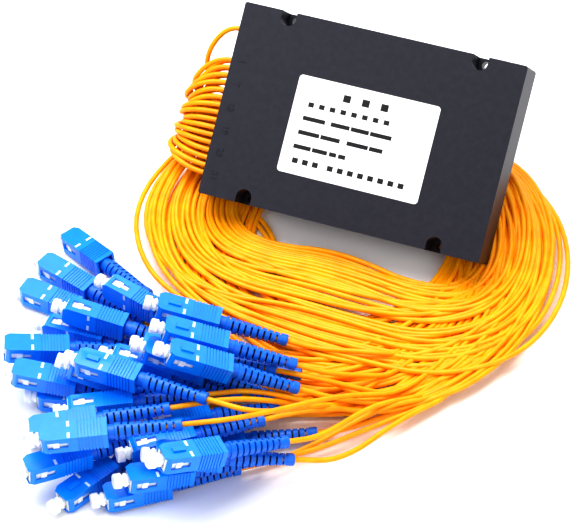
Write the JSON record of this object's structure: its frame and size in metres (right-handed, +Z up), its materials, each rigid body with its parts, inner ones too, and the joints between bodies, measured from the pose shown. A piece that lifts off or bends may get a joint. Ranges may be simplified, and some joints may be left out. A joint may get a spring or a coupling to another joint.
{
  "type": "plc fibre splitter",
  "caption": "Flat box optical splitter: thin yellow leads leave one end, coil on the ground under the tilted box and end in a heap of blue push-pull connectors with dust caps.",
  "frame": {"origin": "middle of the box's outer block", "axes": "+X along the box away from the end with the leads, +Y level across it towards its raised side, +Z up"},
  "size_m": [0.2133, 0.2374, 0.0747],
  "materials": {
    "shell": "satin",
    "label": "matt",
    "seal": "matt",
    "pad": "matt",
    "tube": "satin",
    "glass": "clear",
    "fibre": "satin",
    "resin": "satin",
    "lead": "satin",
    "grip": "satin",
    "plug": "satin",
    "boot": "satin",
    "ceramic": "polished",
    "spring": "satin",
    "cap": "translucent"
  },
  "bodies": {
    "splitter": {"box_shell": "shell", "back_cover": "shell", "label": "label", "port_seal": "seal", "input_seal": "seal", "adhesive_pad": "pad", "splitter_tube": "tube", "tube_plugs": "seal", "splitter_chip": "glass", "input_array": "glass", "output_array": "glass", "fanout_block": "resin", "ribbon_fibres": "fibre", "input_fibre": "fibre", "port_leads": "lead", "port_turn": "lead", "coil": "lead", "tail_leads": "lead", "plug_frames": "plug", "ferrules": "ceramic", "ferrule_springs": "spring", "stop_bodies": "plug", "boots": "boot", "dust_caps": "cap"},
    "grip_01_body": {"grip_01": "grip"},
    "grip_02_body": {"grip_02": "grip"},
    "grip_03_body": {"grip_03": "grip"},
    "grip_04_body": {"grip_04": "grip"},
    "grip_05_body": {"grip_05": "grip"},
    "grip_06_body": {"grip_06": "grip"},
    "grip_07_body": {"grip_07": "grip"},
    "grip_08_body": {"grip_08": "grip"},
    "grip_09_body": {"grip_09": "grip"},
    "grip_10_body": {"grip_10": "grip"},
    "grip_11_body": {"grip_11": "grip"},
    "grip_12_body": {"grip_12": "grip"},
    "grip_13_body": {"grip_13": "grip"},
    "grip_14_body": {"grip_14": "grip"},
    "grip_15_body": {"grip_15": "grip"},
    "grip_16_body": {"grip_16": "grip"},
    "grip_17_body": {"grip_17": "grip"},
    "grip_18_body": {"grip_18": "grip"},
    "grip_19_body": {"grip_19": "grip"},
    "grip_20_body": {"grip_20": "grip"},
    "grip_21_body": {"grip_21": "grip"},
    "grip_22_body": {"grip_22": "grip"},
    "grip_23_body": {"grip_23": "grip"},
    "grip_24_body": {"grip_24": "grip"},
    "grip_25_body": {"grip_25": "grip"},
    "grip_26_body": {"grip_26": "grip"},
    "grip_27_body": {"grip_27": "grip"},
    "grip_28_body": {"grip_28": "grip"},
    "grip_29_body": {"grip_29": "grip"},
    "grip_30_body": {"grip_30": "grip"},
    "grip_31_body": {"grip_31": "grip"},
    "grip_32_body": {"grip_32": "grip"},
    "grip_33_body": {"grip_33": "grip"}
  },
  "joints": [
    {"name": "unlatch_01", "type": "slide", "parent": "splitter", "child": "grip_01_body", "axis": [0.8861, -0.4515, 0.1045], "range_m": [0, 0.002]},
    {"name": "unlatch_02", "type": "slide", "parent": "splitter", "child": "grip_02_body", "axis": [0.9646, -0.2585, -0.0523], "range_m": [0, 0.002]},
    {"name": "unlatch_03", "type": "slide", "parent": "splitter", "child": "grip_03_body", "axis": [0.9948, -0.087, -0.0523], "range_m": [0, 0.002]},
    {"name": "unlatch_04", "type": "slide", "parent": "splitter", "child": "grip_04_body", "axis": [0.972, -0.2244, -0.0698], "range_m": [0, 0.002]},
    {"name": "unlatch_05", "type": "slide", "parent": "splitter", "child": "grip_05_body", "axis": [0.9412, 0.2173, -0.2588], "range_m": [0, 0.002]},
    {"name": "unlatch_06", "type": "slide", "parent": "splitter", "child": "grip_06_body", "axis": [0.9142, 0.2621, -0.309], "range_m": [0, 0.002]},
    {"name": "unlatch_07", "type": "slide", "parent": "splitter", "child": "grip_07_body", "axis": [0.865, 0.3148, -0.3907], "range_m": [0, 0.002]},
    {"name": "unlatch_08", "type": "slide", "parent": "splitter", "child": "grip_08_body", "axis": [0.9879, 0.0691, -0.1392], "range_m": [0, 0.002]},
    {"name": "unlatch_09", "type": "slide", "parent": "splitter", "child": "grip_09_body", "axis": [0.9992, 0.0349, -0.0175], "range_m": [0, 0.002]},
    {"name": "unlatch_10", "type": "slide", "parent": "splitter", "child": "grip_10_body", "axis": [0.88, 0.4484, -0.1564], "range_m": [0, 0.002]},
    {"name": "unlatch_11", "type": "slide", "parent": "splitter", "child": "grip_11_body", "axis": [0.9624, 0.2222, -0.1564], "range_m": [0, 0.002]},
    {"name": "unlatch_12", "type": "slide", "parent": "splitter", "child": "grip_12_body", "axis": [0.9985, 0.0174, -0.0523], "range_m": [0, 0.002]},
    {"name": "unlatch_13", "type": "slide", "parent": "splitter", "child": "grip_13_body", "axis": [0.9599, 0.2753, -0.0523], "range_m": [0, 0.002]},
    {"name": "unlatch_14", "type": "slide", "parent": "splitter", "child": "grip_14_body", "axis": [0.8828, 0.4694, 0.0175], "range_m": [0, 0.002]},
    {"name": "unlatch_15", "type": "slide", "parent": "splitter", "child": "grip_15_body", "axis": [0.8909, 0.4539, 0.0175], "range_m": [0, 0.002]},
    {"name": "unlatch_16", "type": "slide", "parent": "splitter", "child": "grip_16_body", "axis": [0.7044, 0.7044, -0.0872], "range_m": [0, 0.002]},
    {"name": "unlatch_17", "type": "slide", "parent": "splitter", "child": "grip_17_body", "axis": [0.7803, 0.6097, -0.1392], "range_m": [0, 0.002]},
    {"name": "unlatch_18", "type": "slide", "parent": "splitter", "child": "grip_18_body", "axis": [0.7656, 0.6424, -0.0349], "range_m": [0, 0.002]},
    {"name": "unlatch_19", "type": "slide", "parent": "splitter", "child": "grip_19_body", "axis": [0.6643, 0.6879, -0.2924], "range_m": [0, 0.002]},
    {"name": "unlatch_20", "type": "slide", "parent": "splitter", "child": "grip_20_body", "axis": [0.4384, 0.8988, 0], "range_m": [0, 0.002]},
    {"name": "unlatch_21", "type": "slide", "parent": "splitter", "child": "grip_21_body", "axis": [0.7761, 0.6285, -0.0523], "range_m": [0, 0.002]},
    {"name": "unlatch_22", "type": "slide", "parent": "splitter", "child": "grip_22_body", "axis": [0.7676, 0.6216, -0.1564], "range_m": [0, 0.002]},
    {"name": "unlatch_23", "type": "slide", "parent": "splitter", "child": "grip_23_body", "axis": [0.965, 0.2406, 0.1045], "range_m": [0, 0.002]},
    {"name": "unlatch_24", "type": "slide", "parent": "splitter", "child": "grip_24_body", "axis": [0.9932, 0.1044, -0.0523], "range_m": [0, 0.002]},
    {"name": "unlatch_25", "type": "slide", "parent": "splitter", "child": "grip_25_body", "axis": [0.8829, 0.4695, 0], "range_m": [0, 0.002]},
    {"name": "unlatch_26", "type": "slide", "parent": "splitter", "child": "grip_26_body", "axis": [0.9865, 0.0863, -0.1392], "range_m": [0, 0.002]},
    {"name": "unlatch_27", "type": "slide", "parent": "splitter", "child": "grip_27_body", "axis": [0.9889, 0.139, 0.0523], "range_m": [0, 0.002]},
    {"name": "unlatch_28", "type": "slide", "parent": "splitter", "child": "grip_28_body", "axis": [0.9889, 0.139, -0.0523], "range_m": [0, 0.002]},
    {"name": "unlatch_29", "type": "slide", "parent": "splitter", "child": "grip_29_body", "axis": [0.956, 0.1005, -0.2756], "range_m": [0, 0.002]},
    {"name": "unlatch_30", "type": "slide", "parent": "splitter", "child": "grip_30_body", "axis": [0.9494, 0.1504, -0.2756], "range_m": [0, 0.002]},
    {"name": "unlatch_31", "type": "slide", "parent": "splitter", "child": "grip_31_body", "axis": [0.8522, 0.4724, -0.225], "range_m": [0, 0.002]},
    {"name": "unlatch_32", "type": "slide", "parent": "splitter", "child": "grip_32_body", "axis": [0.8566, 0.5147, 0.0349], "range_m": [0, 0.002]},
    {"name": "unlatch_33", "type": "slide", "parent": "splitter", "child": "grip_33_body", "axis": [0.89, 0.4341, 0.1392], "range_m": [0, 0.002]}
  ]
}
